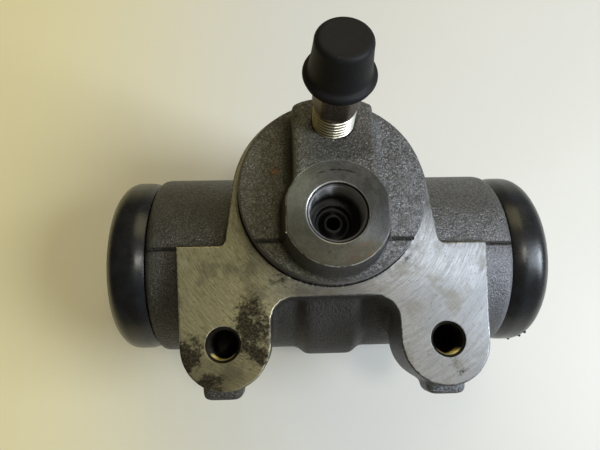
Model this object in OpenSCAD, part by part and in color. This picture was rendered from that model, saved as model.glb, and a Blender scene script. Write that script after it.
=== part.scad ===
// Double-ended drum-brake wheel cylinder.
// The origin is the spigot's centre on the machined flange face. +Z points out of the flange,
// X runs along the barrel, and +Y points to the bleed screw. Lengths are in millimetres.

/* [Barrel] */
// Diameter of the hydraulic bore
bore_d = 38.1; // [36:0.1:40]
// Iron around the bore
barrel_wall = 6.5; // [5.8:0.1:8]
// Length of the barrel between the two boot shoulders
barrel_length = 96; // [90:1:104]
// Depth of the barrel axis below the flange face
axis_depth = 29.2; // [28:0.1:31]
// Distance from the spigot axis to the barrel axis, away from the bleed screw
axis_offset = 13; // [11:0.1:15]
// Radius of the cast edge at each end of the barrel
barrel_edge = 1.6; // [0.4:0.1:2]
// Half width of the raised band that runs round the far side of the barrel
band_half_width = 6.4; // [4:0.1:9]
// Height of the raised band above the barrel
band_height = 2.2; // [1:0.1:3]
// Length of the sloped flank on each side of the band
band_flank = 2.6; // [1:0.1:4]
// Angle round the barrel from the far side up to the band's upper end
band_up = 66; // [62:1:72]
// Angle round the barrel from the far side down to the band's lower end
band_down = 45; // [20:1:80]

/* [Boot neck] */
// Length of the turned neck outside each boot shoulder
neck_length = 4.5; // [4:0.1:6]
// Radial step from the barrel down to the neck
neck_step = 2.95; // [2.5:0.05:3.4]
// Width of the groove that holds the boot's outer bead
groove_width = 1.8; // [1.2:0.1:2.4]
// Depth of that groove
groove_depth = 0.9; // [0.5:0.1:1.2]

/* [Flange] */
// Diameter of the round part of the flange
flange_d = 50.4; // [49:0.1:53]
// Thickness of the flange plate
flange_thickness = 8; // [7.5:0.1:10]
// Diameter of the spigot that centres in the backing plate
spigot_d = 46.6; // [45:0.1:48]
// Height of the spigot above the flange face
spigot_height = 5; // [3.5:0.1:6]
// Width of the relief groove round the foot of the spigot
relief_width = 0.6; // [0.3:0.1:0.8]
// Depth of the relief groove
relief_depth = 0.5; // [0.2:0.1:1]
// Angle round the barrel at which the underside of the flange meets it
gusset_angle = 20; // [10:1:35]

/* [Lugs] */
// Distance between the two mounting holes
hole_spacing = 54; // [52:0.5:58]
// Distance from the spigot axis to the line of the mounting holes
hole_offset = 36.8; // [35:0.1:40]
// Drilled diameter of each tapped mounting hole
hole_d = 6.8; // [5:0.1:8]
// Depth of each mounting hole
hole_depth = 13; // [8:0.5:14]
// Diameter of the chamfer at the mouth of each mounting hole
hole_mouth_d = 8.4; // [8.2:0.1:10]
// Radius of the round lug end
lug_end_r = 10.8; // [9:0.1:12]
// How far the cast lug end lies inside the hole centre
lug_shift = 0.6; // [0:0.1:1.5]
// Half width over both lugs at their straight upper edge
lug_half_width = 38.9; // [38:0.1:41]
// Half width of the flange where it meets the upper edge of the lugs
flare_half_width = 26.95; // [26.5:0.05:28]
// Fillet in the corner between the flange and the upper edge of a lug
flare_fillet = 1.4; // [0.5:0.1:3]
// Depth of the lugs below the flange face
lug_depth = 16; // [15:0.5:20]
// Distance from the spigot axis to the lower edge of the web between the lugs
web_offset = 26; // [25:0.1:28]
// Fillet between the web and the inner side of a lug
web_fillet = 5.8; // [3:0.1:8]
// Width of the small cast pad on each lug end
pad_width = 10; // [8:0.1:12]
// How far the pad's middle lies outside the hole centre
pad_shift = 0.75; // [0:0.05:2]
// How far the pad stands out beyond the lug end
pad_reach = 2.7; // [1:0.1:4]
// Corner radius of the pad
pad_corner = 1.8; // [0.5:0.1:2.5]
// Top of the pad below the flange face
pad_top = 6.5; // [4:0.1:8]
// Height of the pad
pad_height = 8; // [5:0.1:8.5]

/* [Inlet port] */
// Distance from the spigot axis to the port axis, away from the bleed screw
port_offset = 8.7; // [7.5:0.1:10]
// Height of the spot-faced port above the flange face
port_height = 15; // [13.5:0.1:16]
// Diameter of the spot face
port_face_d = 24.4; // [23:0.1:26]
// Half width of the port boss at the spot face
port_half_width = 11.6; // [10.5:0.1:12.4]
// Draft of the port boss from the spot face down to the spigot
port_draft = 1.4; // [0.5:0.1:1.8]
// Drilled diameter of the tapped inlet port
port_d = 12.4; // [11:0.1:14]
// Depth of the tapped inlet port
port_depth = 11.5; // [9:0.1:12.5]
// Diameter of the chamfer at the mouth of the port
port_mouth_d = 14.3; // [14.1:0.1:17]
// Diameter of the counterbore round the pipe seat
seat_well_d = 9; // [8:0.1:10]
// Depth of the counterbore
seat_well_depth = 1.5; // [0.8:0.1:2.5]
// Diameter at the top of the pipe seat
seat_top_d = 4.6; // [4:0.1:6]
// Diameter of the fluid passages
passage_d = 3.2; // [2:0.1:3.6]

/* [Bleeder pad] */
// Half width of the rib that carries the bleed screw
rib_half_width = 9.8; // [8.5:0.1:11]
// Fillet along the foot of the rib
rib_fillet = 3.8; // [1:0.1:4]
// Height of the rib above the flange face, at the bleed screw
rib_height = 13; // [12:0.1:13.8]
// Setback of the rib's outer end from the spigot's edge
rib_setback = 1.9; // [0.2:0.1:2.2]
// Tilt of the bleed screw away from the flange normal, in degrees
bleeder_tilt = 11; // [9:0.5:13]
// Distance from the spigot axis to the bleed screw, at the pad
bleeder_offset = 14.1; // [13:0.1:14.8]
// Depth of the threaded bleeder hole below the pad
bleeder_depth = 14; // [12:0.1:16]

/* [Bleed screw] */
// Thread diameter of the bleed screw
screw_d = 10; // [8:0.5:11]
// Thread that shows between the pad and the hexagon
screw_exposed = 6; // [3:0.1:7]
// Length of the thread below the pad
screw_thread = 8; // [6:0.1:9]
// Diameter of the plain tip below the thread
tip_d = 7.2; // [6:0.1:7.6]
// Hexagon size across the flats
hex_flats = 9.5; // [8:0.5:11]
// Height of the hexagon
hex_height = 7; // [5:0.1:9]
// Angle at which the tightened hexagon stands, in degrees
hex_turn = -8; // [-30:1:30]
// Diameter of the nipple
nipple_d = 6.4; // [5.5:0.1:6.8]
// Diameter of the nipple's barb
barb_d = 7.5; // [7:0.1:8.5]
// Length of the nipple from the hexagon to its end
nipple_length = 10; // [8.5:0.1:10.5]
// Diameter of the drilled way through the screw
drill_d = 2.4; // [1.5:0.1:3]

/* [Bleed cap] */
// Height of the cap's skirt above the hexagon
cap_lift = 1.2; // [0.4:0.1:2]
// Height of the cap
cap_height = 11.2; // [10.8:0.1:14]
// Diameter of the cap's skirt
cap_skirt_d = 15.6; // [15:0.1:17.5]
// Height of the cap's skirt
cap_skirt_height = 2.7; // [2:0.1:4]
// Diameter of the cap above the skirt
cap_waist_d = 13.1; // [12.4:0.1:13.8]
// Diameter of the cap at its top
cap_top_d = 11.7; // [10:0.1:12.2]
// Radius of the cap's top edge
cap_edge = 1.4; // [0.5:0.1:2]

/* [Pistons and seals] */
// Distance between the two cup expanders at rest
spring_length = 30; // [26:0.5:34]
// Wire diameter of the return spring
spring_wire = 1.8; // [1.2:0.1:2.4]
// Mean diameter of the return spring
spring_mean_d = 15.6; // [12:0.1:16.6]
// Number of turns of the return spring
spring_turns = 6; // [4:0.5:8]
// Sheet thickness of a cup expander
expander_sheet = 0.8; // [0.5:0.1:1]
// Height of a cup expander
expander_height = 3.4; // [2.5:0.1:4]
// Thickness of a cup seal behind its hollow
cup_base = 5; // [3:0.1:7]
// Depth of the hollow in a cup seal
cup_hollow = 5; // [4.2:0.1:6]
// Thickness of the seal lip at its root
lip_root = 4.7; // [3.5:0.1:5.5]
// Thickness of the seal lip at its tip
lip_tip = 1.8; // [1:0.1:2.5]
// How far each piston's skirt stops short of the end of the neck
piston_recess = 7.5; // [6.5:0.1:9]
// Diameter of the piston's nose
nose_d = 21.6; // [20:0.1:23]
// Depth of the nose groove that holds the boot's inner bead
nose_groove = 0.95; // [0.6:0.05:1.3]
// Diameter of the socket for the shoe pushrod
socket_d = 12; // [10:0.1:13]
// Depth of the socket
socket_depth = 18; // [12:0.5:22]

/* [Dust boots] */
// How far the boot's outside lies below the barrel
boot_setback = 0.75; // [0.4:0.05:1.2]
// How much slimmer the boot is at its lip than at its outer roll, on the radius
boot_taper = 0.5; // [0.2:0.05:0.8]
// Thickness of the boot's rubber
boot_wall = 2; // [1.4:0.1:2.2]
// Outside radius of the boot's outer roll
boot_roll = 4.5; // [4.2:0.1:5]
// Distance from the end of the neck to the middle of the boot's rolls
boot_reach = 1.7; // [1.2:0.1:3]
// Length of the boot's inner bead
bead_length = 2; // [1.5:0.1:3]

/* [Fits] */
// Radial clearance of pistons, seals, screw and cap
running_fit = 0.05; // [0.02:0.01:0.09]
// Clearance between faces that rest against each other
seat_gap = 0.1; // [0.05:0.01:0.2]

/* [Hidden] */
$fn = 96;
arc_steps = 6;
through = 1;

// Barrel and necks
bore_r = bore_d / 2;
barrel_r = bore_r + barrel_wall;
barrel_half = barrel_length / 2;
body_end = barrel_half + neck_length;
neck_r = barrel_r - neck_step;
neck_chamfer = 0.4;
groove_start = barrel_half + (neck_length - groove_width) / 2;
groove_r = neck_r - groove_depth;
mouth_chamfer = 1;
barrel_axis = [-axis_offset, -axis_depth];

// Flange and lugs, in plan
flange_r = flange_d / 2;
spigot_r = spigot_d / 2;
spigot_edge = 0.5;
lug_end = [hole_spacing / 2 - lug_shift, -hole_offset];
lug_inner = lug_end[0] - lug_end_r;
lug_top = -axis_offset;
pad_x = hole_spacing / 2 + pad_shift;
pad_tip = hole_offset + lug_end_r + pad_reach;

// Port
port_face_r = port_face_d / 2;
port_floor = port_height - port_depth;
seat_draft = 1.2;
passage_r = passage_d / 2;

// Bleeder pad and hole
bleeder_dir = [sin(bleeder_tilt), cos(bleeder_tilt)];
screw_r = screw_d / 2;
bleeder_hole_r = screw_r + running_fit;
bleeder_run = way_to_bore([bleeder_offset, rib_height], bleeder_dir);

// Bleed screw, along its own axis from the pad
tip_r = tip_d / 2;
tip_point_inset = 0.4;
tip_point_r = passage_r - tip_point_inset;
seat_foot = -bleeder_depth - bleeder_hole_r;
tip_shoulder = seat_foot + tip_r + seat_gap * sqrt(2);
tip_end = seat_foot + tip_point_r + seat_gap * sqrt(2);
hex_r = hex_flats / sqrt(3);
hex_chamfer = hex_r - hex_flats / 2;
hex_core_inset = 0.3;
hex_core_r = hex_flats / 2 - hex_core_inset;
hex_top = screw_exposed + hex_height;
nipple_r = nipple_d / 2;
nipple_flare = 1.6;
barb_r = barb_d / 2;
barb_length = 2.4;
nipple_end = hex_top + nipple_length;
nipple_point = 1.2;
drill_end = -bleeder_depth + 2 * drill_d;
thread_lead_in = 0.7;

// Bleed cap, along the same axis
cap_bottom = hex_top + cap_lift;
cap_top = cap_bottom + cap_height;
cap_bore_r = barb_r + running_fit;
cap_bore_end = nipple_end + seat_gap;
cap_skirt_edge = 0.9;
cap_shoulder_turn = 70;

// Pistons, seals and spring, along the barrel axis from its middle
roll_x = body_end + boot_reach;
fit_r = bore_r - running_fit;
spring_end = spring_length / 2;
cup_floor = spring_end + expander_sheet + seat_gap;
cup_mouth = cup_floor - cup_hollow;
cup_back = cup_floor + cup_base;
cup_edge = 0.6;
hollow_floor_r = fit_r - lip_root;
hollow_slope = (lip_root - lip_tip) / cup_hollow;
piston_start = cup_back + seat_gap;
piston_end = body_end - piston_recess;
piston_edge = 0.8;
nose_r = nose_d / 2;
nose_tip = 1.2;
nose_end = roll_x + bead_length + seat_gap + nose_tip;
socket_r = socket_d / 2;
spring_sides = 10;
spring_steps = 28;

// Boots
boot_r = barrel_r - boot_setback;
boot_lip_edge = 0.4;
roll_r = boot_r - boot_roll;
bead_r = nose_r - nose_groove + running_fit;
fold = (roll_r - boot_roll + boot_wall - bead_r) / 2;
fold_r = bead_r + fold;
bead_root = sqrt(fold * fold - (fold_r - nose_r) * (fold_r - nose_r)) + seat_gap;

// Distance from a point on the bleeder axis, against its direction, to the wall of the bore
function way_to_bore(start, dir) =
    let (away = start - barrel_axis, along = away * dir)
    along - sqrt(max(0, along * along - away * away + bore_r * bore_r));

// Point where a line from outside touches a circle; turn is 1 or -1 and picks the side
function touch_point(outside, centre, radius, turn) =
    let (away = outside - centre,
         angle = atan2(away[1], away[0]) + turn * acos(radius / norm(away)))
    centre + radius * [cos(angle), sin(angle)];

// Points of an arc, from one angle to another
function arc(centre, radius, from, to) =
    [for (i = [0 : arc_steps])
        let (angle = from + (to - from) * i / arc_steps)
        centre + radius * [cos(angle), sin(angle)]];

// Turns its child's Z axis to the barrel's axis
module on_barrel_axis() {
    translate([0, -axis_offset, -axis_depth]) rotate([0, 90, 0]) children();
}

// Turns its child's Z axis to the bleed screw's axis, with the pad at height 0
module on_bleeder_axis() {
    translate([0, bleeder_offset, rib_height]) rotate([-bleeder_tilt, 0, 0]) children();
}

// Its child, on the right for side 1 and mirrored to the left for side -1
module on_side(side) {
    mirror([side < 0 ? 1 : 0, 0, 0]) children();
}

module both_sides() {
    for (side = [-1, 1]) on_side(side) children();
}

// Corner fillet in plan: a square with a quarter circle cut away, its corner at the origin
module fillet_corner(radius) {
    difference() {
        translate([-through / 2, -through / 2]) square(radius + through / 2);
        translate([radius, radius]) circle(radius);
    }
}

// Half of the barrel with its neck and bead groove
module barrel_end() {
    rotate_extrude()
        polygon(concat(
            [[0, 0], [barrel_r, 0]],
            arc([barrel_r - barrel_edge, barrel_half - barrel_edge], barrel_edge, 0, 90),
            [[neck_r, barrel_half], [neck_r, groove_start], [groove_r, groove_start],
             [groove_r, groove_start + groove_width], [neck_r, groove_start + groove_width],
             [neck_r, body_end - neck_chamfer], [neck_r - neck_chamfer, body_end],
             [0, body_end]]));
}

module barrel_casting() {
    on_barrel_axis() {
        barrel_end();
        mirror([0, 0, 1]) barrel_end();
    }
}

// Raised band round the side of the barrel that faces away from the bleed screw
module barrel_band() {
    top_r = barrel_r + band_height;
    root_r = bore_r + through;
    root_half = band_half_width + (top_r - root_r) * band_flank / band_height;
    on_barrel_axis()
        rotate([0, 0, -90 - band_up])
            rotate_extrude(angle = band_down + band_up)
                polygon([[root_r, -root_half], [top_r, -band_half_width],
                         [top_r, band_half_width], [root_r, root_half]]);
}

module lug_outline() {
    outer = [lug_half_width, lug_top];
    polygon([lug_end, [lug_inner, lug_end[1]], [lug_inner, lug_top], outer,
             touch_point(outer, lug_end, lug_end_r, -1)]);
    translate(lug_end) circle(lug_end_r);
}

module flange_outline() {
    flare = [flare_half_width, lug_top];
    touch = touch_point(flare, [0, 0], flange_r, 1);
    circle(flange_r);
    polygon([flare, touch, [-touch[0], touch[1]], [-flare[0], flare[1]]]);
    translate([-lug_inner - through, -web_offset])
        square([2 * (lug_inner + through), web_offset - axis_offset]);
    both_sides() {
        lug_outline();
        translate([lug_inner, -web_offset]) rotate(180) fillet_corner(web_fillet);
        translate(flare) fillet_corner(flare_fillet);
    }
}

module flange_plate() {
    translate([0, 0, -flange_thickness]) linear_extrude(flange_thickness) flange_outline();
}

module lugs() {
    translate([0, 0, -lug_depth]) linear_extrude(lug_depth) both_sides() lug_outline();
}

module lug_pads() {
    inner = pad_width / 2 - pad_corner;
    both_sides()
        translate([pad_x, -pad_tip, -pad_top - pad_height])
            linear_extrude(pad_height) {
                translate([-inner, 0]) square([2 * inner, pad_reach + lug_end_r / 2]);
                translate([-pad_width / 2, pad_corner])
                    square([pad_width, pad_reach + lug_end_r / 2 - pad_corner]);
                for (x = [-inner, inner]) translate([x, pad_corner]) circle(pad_corner);
            }
}

// Neck of the casting between the flange and the barrel
module flange_column() {
    foot = barrel_axis + barrel_r * [cos(gusset_angle), sin(gusset_angle)];
    intersection() {
        translate([0, 0, -axis_depth]) cylinder(h = axis_depth, r = flange_r);
        rotate([90, 0, 90])
            translate([0, 0, -flange_r - through])
                linear_extrude(2 * (flange_r + through))
                    polygon([barrel_axis, foot, [flange_r + through, -flange_thickness],
                             [flange_r + through, 0], [-flange_r - through, 0],
                             [-flange_r - through, -axis_depth]]);
    }
}

module spigot() {
    translate([0, 0, -through]) cylinder(h = spigot_height + through - spigot_edge, r = spigot_r);
    translate([0, 0, spigot_height - spigot_edge])
        cylinder(h = spigot_edge, r1 = spigot_r, r2 = spigot_r - spigot_edge);
}

module rib_section() {
    translate([-rib_half_width, -through]) square([2 * rib_half_width, 2 * rib_height]);
    both_sides() translate([rib_half_width, spigot_height]) fillet_corner(rib_fillet);
}

// Rib from the port to the bleeder pad, under a face square to the bleed screw. It is no higher
// than the port.
module bleeder_rib() {
    size = 4 * spigot_r;
    intersection() {
        translate([0, spigot_r, 0]) rotate([90, 0, 0])
            linear_extrude(spigot_r + port_offset) rib_section();
        on_bleeder_axis() translate([-size / 2, -size / 2, -size]) cube(size);
        translate([0, 0, -through])
            cylinder(h = port_height + through, r = spigot_r - rib_setback);
    }
}

// Drafted boss round the inlet port, flattened on the two sides that face along the barrel
module port_boss() {
    foot = spigot_height - spigot_edge;
    tall = port_height - foot;
    half_foot = port_half_width + port_draft;
    translate([0, -port_offset, foot])
        intersection() {
            cylinder(h = tall, r1 = port_face_r + port_draft, r2 = port_face_r);
            translate([0, 2 * port_face_r, 0]) rotate([90, 0, 0])
                linear_extrude(4 * port_face_r)
                    polygon([[-half_foot, 0], [half_foot, 0],
                             [port_half_width, tall], [-port_half_width, tall]]);
        }
}

module bore_cut() {
    on_barrel_axis() {
        translate([0, 0, -body_end - through])
            cylinder(h = 2 * (body_end + through), r = bore_r);
        for (turn = [0, 180])
            rotate([turn, 0, 0])
                translate([0, 0, body_end - mouth_chamfer])
                    cylinder(h = mouth_chamfer + through, r1 = bore_r,
                             r2 = bore_r + mouth_chamfer + through);
    }
}

module inlet_port_cut() {
    mouth = (port_mouth_d - port_d) / 2;
    seat_top_r = seat_top_d / 2;
    well_floor = port_floor - seat_well_depth;
    translate([0, -port_offset, 0]) {
        translate([0, 0, port_height - mouth])
            cylinder(h = mouth, r1 = port_d / 2, r2 = port_mouth_d / 2);
        translate([0, 0, port_floor]) cylinder(h = port_depth, r = port_d / 2);
        difference() {
            translate([0, 0, well_floor]) cylinder(h = seat_well_depth, r = seat_well_d / 2);
            translate([0, 0, well_floor])
                cylinder(h = seat_well_depth, r1 = seat_top_r + seat_draft, r2 = seat_top_r);
        }
        translate([0, 0, -axis_depth]) cylinder(h = axis_depth + port_floor, r = passage_r);
    }
}

module bleeder_cut() {
    on_bleeder_axis() {
        translate([0, 0, -bleeder_depth]) cylinder(h = bleeder_depth + through, r = bleeder_hole_r);
        translate([0, 0, seat_foot + passage_r])
            cylinder(h = bleeder_hole_r - passage_r, r1 = passage_r, r2 = bleeder_hole_r);
        translate([0, 0, -bleeder_run - passage_d])
            cylinder(h = bleeder_run + passage_d - bleeder_depth, r = passage_r);
    }
}

module mounting_holes() {
    mouth = (hole_mouth_d - hole_d) / 2;
    both_sides()
        translate([hole_spacing / 2, -hole_offset, 0]) {
            translate([0, 0, -hole_depth]) cylinder(h = hole_depth + through, r = hole_d / 2);
            translate([0, 0, -mouth])
                cylinder(h = mouth, r1 = hole_d / 2, r2 = hole_mouth_d / 2);
            translate([0, 0, -hole_depth - hole_d / 4])
                cylinder(h = hole_d / 4, r1 = 0, r2 = hole_d / 2);
        }
}

// Groove in the flange face round the foot of the spigot
module relief_groove() {
    translate([0, 0, -relief_depth])
        difference() {
            cylinder(h = relief_depth + through, r = spigot_r + relief_width);
            translate([0, 0, -through])
                cylinder(h = relief_depth + 3 * through, r = spigot_r);
        }
}

module cylinder_body() {
    color("dimgray")
        difference() {
            union() {
                barrel_casting();
                barrel_band();
                flange_column();
                flange_plate();
                lugs();
                lug_pads();
                spigot();
                bleeder_rib();
                port_boss();
            }
            bore_cut();
            inlet_port_cut();
            bleeder_cut();
            mounting_holes();
            relief_groove();
        }
}

module piston() {
    groove_from = roll_x - bead_root;
    groove_to = roll_x + bead_length + seat_gap;
    nose_groove_r = nose_r - nose_groove;
    color("lightslategray")
        on_barrel_axis()
            rotate_extrude()
                polygon([[0, piston_start], [fit_r - piston_edge, piston_start],
                         [fit_r, piston_start + piston_edge], [fit_r, piston_end - piston_edge],
                         [fit_r - piston_edge, piston_end], [nose_r, piston_end],
                         [nose_r, groove_from], [nose_groove_r, groove_from],
                         [nose_groove_r, groove_to], [nose_r, groove_to],
                         [nose_r, nose_end - piston_edge], [nose_r - piston_edge, nose_end],
                         [socket_r, nose_end], [socket_r, nose_end - socket_depth],
                         [0, nose_end - socket_depth - socket_r / 2]]);
}

module cup_seal() {
    color("black")
        on_barrel_axis()
            rotate_extrude()
                polygon([[0, cup_floor], [hollow_floor_r, cup_floor],
                         [hollow_floor_r + hollow_slope * cup_hollow, cup_mouth],
                         [fit_r - cup_edge, cup_mouth], [fit_r, cup_mouth + cup_edge],
                         [fit_r, cup_back - cup_edge], [fit_r - cup_edge, cup_back],
                         [0, cup_back]]);
}

// Radius of the expander's outside at a distance from the middle of the barrel
function expander_r(x) = hollow_floor_r - seat_gap * 2 + hollow_slope * (cup_floor - x);

module cup_expander() {
    back = cup_floor - seat_gap;
    front = back - expander_height;
    wall = expander_sheet * sqrt(1 + hollow_slope * hollow_slope);
    color("silver")
        on_barrel_axis()
            rotate_extrude()
                polygon([[0, spring_end], [expander_r(spring_end) - wall, spring_end],
                         [expander_r(front) - wall, front], [expander_r(front), front],
                         [expander_r(back), back], [0, back]]);
}

// Coil swept along a helix between the two expanders
module return_spring() {
    wire_r = spring_wire / 2;
    mean_r = spring_mean_d / 2;
    reach = spring_end - seat_gap - wire_r;
    rings = spring_turns * spring_steps;
    slope = atan2(2 * reach, spring_turns * PI * spring_mean_d);
    points = [for (i = [0 : rings], k = [0 : spring_sides - 1])
        let (turn = 360 * i / spring_steps, side = 360 * k / spring_sides,
             out = mean_r + wire_r * cos(side), up = wire_r * sin(side))
        [out * cos(turn) + up * sin(slope) * sin(turn),
         out * sin(turn) - up * sin(slope) * cos(turn),
         -reach + 2 * reach * i / rings + up * cos(slope)]];
    sides = [for (i = [0 : rings - 1], k = [0 : spring_sides - 1])
        let (a = i * spring_sides + k, b = i * spring_sides + (k + 1) % spring_sides)
        [a, a + spring_sides, b + spring_sides, b]];
    first = [for (k = [0 : spring_sides - 1]) k];
    last = [for (k = [spring_sides - 1 : -1 : 0]) rings * spring_sides + k];
    color("gray") on_barrel_axis() polyhedron(points, concat(sides, [first, last]));
}

// Section of a boot: lip and bead on the neck, outer roll, inner fold and inner bead
module boot_section() {
    lip = barrel_half + seat_gap;
    lip_r = neck_r + running_fit;
    lip_outer_r = boot_r - boot_taper;
    shell_r = boot_r - boot_wall;
    polygon([[lip_r, lip], [lip_outer_r - boot_lip_edge, lip], [lip_outer_r, lip + boot_lip_edge],
             [boot_r, roll_x], [shell_r, roll_x], [shell_r, body_end + seat_gap],
             [lip_r, body_end + seat_gap]]);
    translate([groove_r + running_fit, groove_start + running_fit])
        square([groove_depth + running_fit, groove_width - 2 * running_fit]);
    translate([roll_r, roll_x])
        half_ring(boot_roll, boot_wall, 1);
    translate([fold_r, roll_x])
        half_ring(fold, boot_wall, -1);
    translate([bead_r, roll_x]) square([boot_wall, bead_length]);
}

// Half of a flat ring, above its centre for side 1 and below it for side -1
module half_ring(outer, wall, side) {
    difference() {
        circle(outer);
        circle(outer - wall);
        translate([-2 * outer, side > 0 ? -4 * outer : 0]) square(4 * outer);
    }
}

module dust_boot() {
    color([0.07, 0.07, 0.08]) on_barrel_axis() rotate_extrude() boot_section();
}

module screw_section() {
    barb_from = nipple_end - nipple_point - barb_length;
    polygon([[0, tip_end], [tip_point_r, tip_end], [tip_r, tip_shoulder], [tip_r, -screw_thread],
             [screw_r - thread_lead_in, -screw_thread], [screw_r, -screw_thread + thread_lead_in],
             [screw_r, screw_exposed], [hex_core_r, screw_exposed], [hex_core_r, hex_top],
             [nipple_r, hex_top + nipple_flare], [nipple_r, barb_from],
             [barb_r, barb_from + (barb_r - nipple_r)], [barb_r, nipple_end - nipple_point],
             [nipple_r - nipple_point / 2, nipple_end], [0, nipple_end]]);
}

// Hexagon with its corners turned off at both ends
module screw_hexagon() {
    chamfer_height = hex_chamfer / 2;
    intersection() {
        translate([0, 0, screw_exposed]) rotate(hex_turn) cylinder(h = hex_height, r = hex_r, $fn = 6);
        rotate_extrude()
            polygon([[0, screw_exposed], [hex_flats / 2, screw_exposed],
                     [hex_r, screw_exposed + chamfer_height], [hex_r, hex_top - chamfer_height],
                     [hex_flats / 2, hex_top], [0, hex_top]]);
    }
}

module bleed_screw() {
    color("darkkhaki")
        on_bleeder_axis()
            difference() {
                union() {
                    rotate_extrude() screw_section();
                    screw_hexagon();
                }
                translate([0, 0, drill_end])
                    cylinder(h = nipple_end + through - drill_end, r = drill_d / 2);
                translate([0, 0, drill_end]) rotate([0, 90, 0])
                    cylinder(h = screw_d, r = drill_d / 2, center = true);
            }
}

module bleed_cap() {
    skirt_r = cap_skirt_d / 2;
    waist_r = cap_waist_d / 2;
    top_r = cap_top_d / 2;
    waist = cap_bottom + cap_skirt_height;
    skirt_edge_r = skirt_r - cap_skirt_edge;
    draft = atan2(waist_r - top_r, cap_top - cap_edge - waist);
    color([0.09, 0.09, 0.09])
        on_bleeder_axis()
            rotate_extrude()
                polygon(concat(
                    [[cap_bore_r, cap_bottom]],
                    arc([skirt_edge_r, cap_bottom + cap_skirt_edge], cap_skirt_edge, -90, 0),
                    arc([skirt_edge_r, waist - cap_skirt_edge], cap_skirt_edge, 0, cap_shoulder_turn),
                    [[waist_r, waist]],
                    arc([top_r - cap_edge, cap_top - cap_edge], cap_edge, draft, 90),
                    [[0, cap_top], [0, cap_bore_end], [cap_bore_r, cap_bore_end]]));
}

module piston_left() { on_side(-1) piston(); }
module piston_right() { on_side(1) piston(); }
module cup_seal_left() { on_side(-1) cup_seal(); }
module cup_seal_right() { on_side(1) cup_seal(); }
module cup_expander_left() { on_side(-1) cup_expander(); }
module cup_expander_right() { on_side(1) cup_expander(); }
module dust_boot_left() { on_side(-1) dust_boot(); }
module dust_boot_right() { on_side(1) dust_boot(); }

cylinder_body();
piston_left();
piston_right();
cup_seal_left();
cup_seal_right();
cup_expander_left();
cup_expander_right();
return_spring();
dust_boot_left();
dust_boot_right();
bleed_screw();
bleed_cap();
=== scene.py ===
import math

import bmesh
import bpy
import numpy as np
from mathutils import Matrix, Vector
from mathutils.bvhtree import BVHTree


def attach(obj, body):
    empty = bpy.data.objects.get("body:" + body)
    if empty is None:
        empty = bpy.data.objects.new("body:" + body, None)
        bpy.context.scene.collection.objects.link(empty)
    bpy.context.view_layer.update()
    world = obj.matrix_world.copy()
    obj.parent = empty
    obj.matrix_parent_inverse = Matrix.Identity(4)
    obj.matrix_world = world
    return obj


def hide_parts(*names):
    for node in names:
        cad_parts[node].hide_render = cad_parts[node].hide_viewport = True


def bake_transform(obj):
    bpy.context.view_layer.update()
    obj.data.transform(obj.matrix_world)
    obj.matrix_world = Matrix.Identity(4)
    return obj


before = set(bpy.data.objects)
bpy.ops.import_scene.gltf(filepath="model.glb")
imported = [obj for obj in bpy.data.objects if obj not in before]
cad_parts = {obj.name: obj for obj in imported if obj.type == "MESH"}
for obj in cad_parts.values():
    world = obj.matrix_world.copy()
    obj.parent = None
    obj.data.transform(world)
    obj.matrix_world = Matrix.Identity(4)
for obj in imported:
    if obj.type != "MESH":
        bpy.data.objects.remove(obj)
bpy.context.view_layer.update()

MM = 0.001
TURN = 2 * math.pi
SIDES = ((-1, "left"), (1, "right"))

# Sizes repeated from the part's source, in millimetres
AXIS_Y = -13.0
AXIS_Z = -29.2
BORE_R = 19.05
BARREL_R = 25.55
BARREL_HALF = 48.0
NECK_R = 22.6
SPIGOT_R = 23.3
SPIGOT_HEIGHT = 5.0
RELIEF_R = SPIGOT_R + 0.6
HOLE_X = 27.0
HOLE_Y = -36.8
HOLE_R = 3.4
HOLE_MOUTH_R = 4.2
PORT_Y = -8.7
PORT_TOP = 15.0
PORT_FACE_R = 12.2
PORT_HALF = 11.6
PORT_R = 6.2
PORT_MOUTH_R = 7.15
PORT_FLOOR = 3.5
BLEEDER_AT = np.array([0.0, 14.1, 13.0])
BLEEDER_TILT = math.radians(11)
BLEEDER_AXIS = np.array([0.0, math.sin(BLEEDER_TILT), math.cos(BLEEDER_TILT)])
HEX_LOW = 6.0
HEX_HIGH = 13.0
THREAD_LOW = -8.0
FLOOR_Z = -54.75


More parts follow.
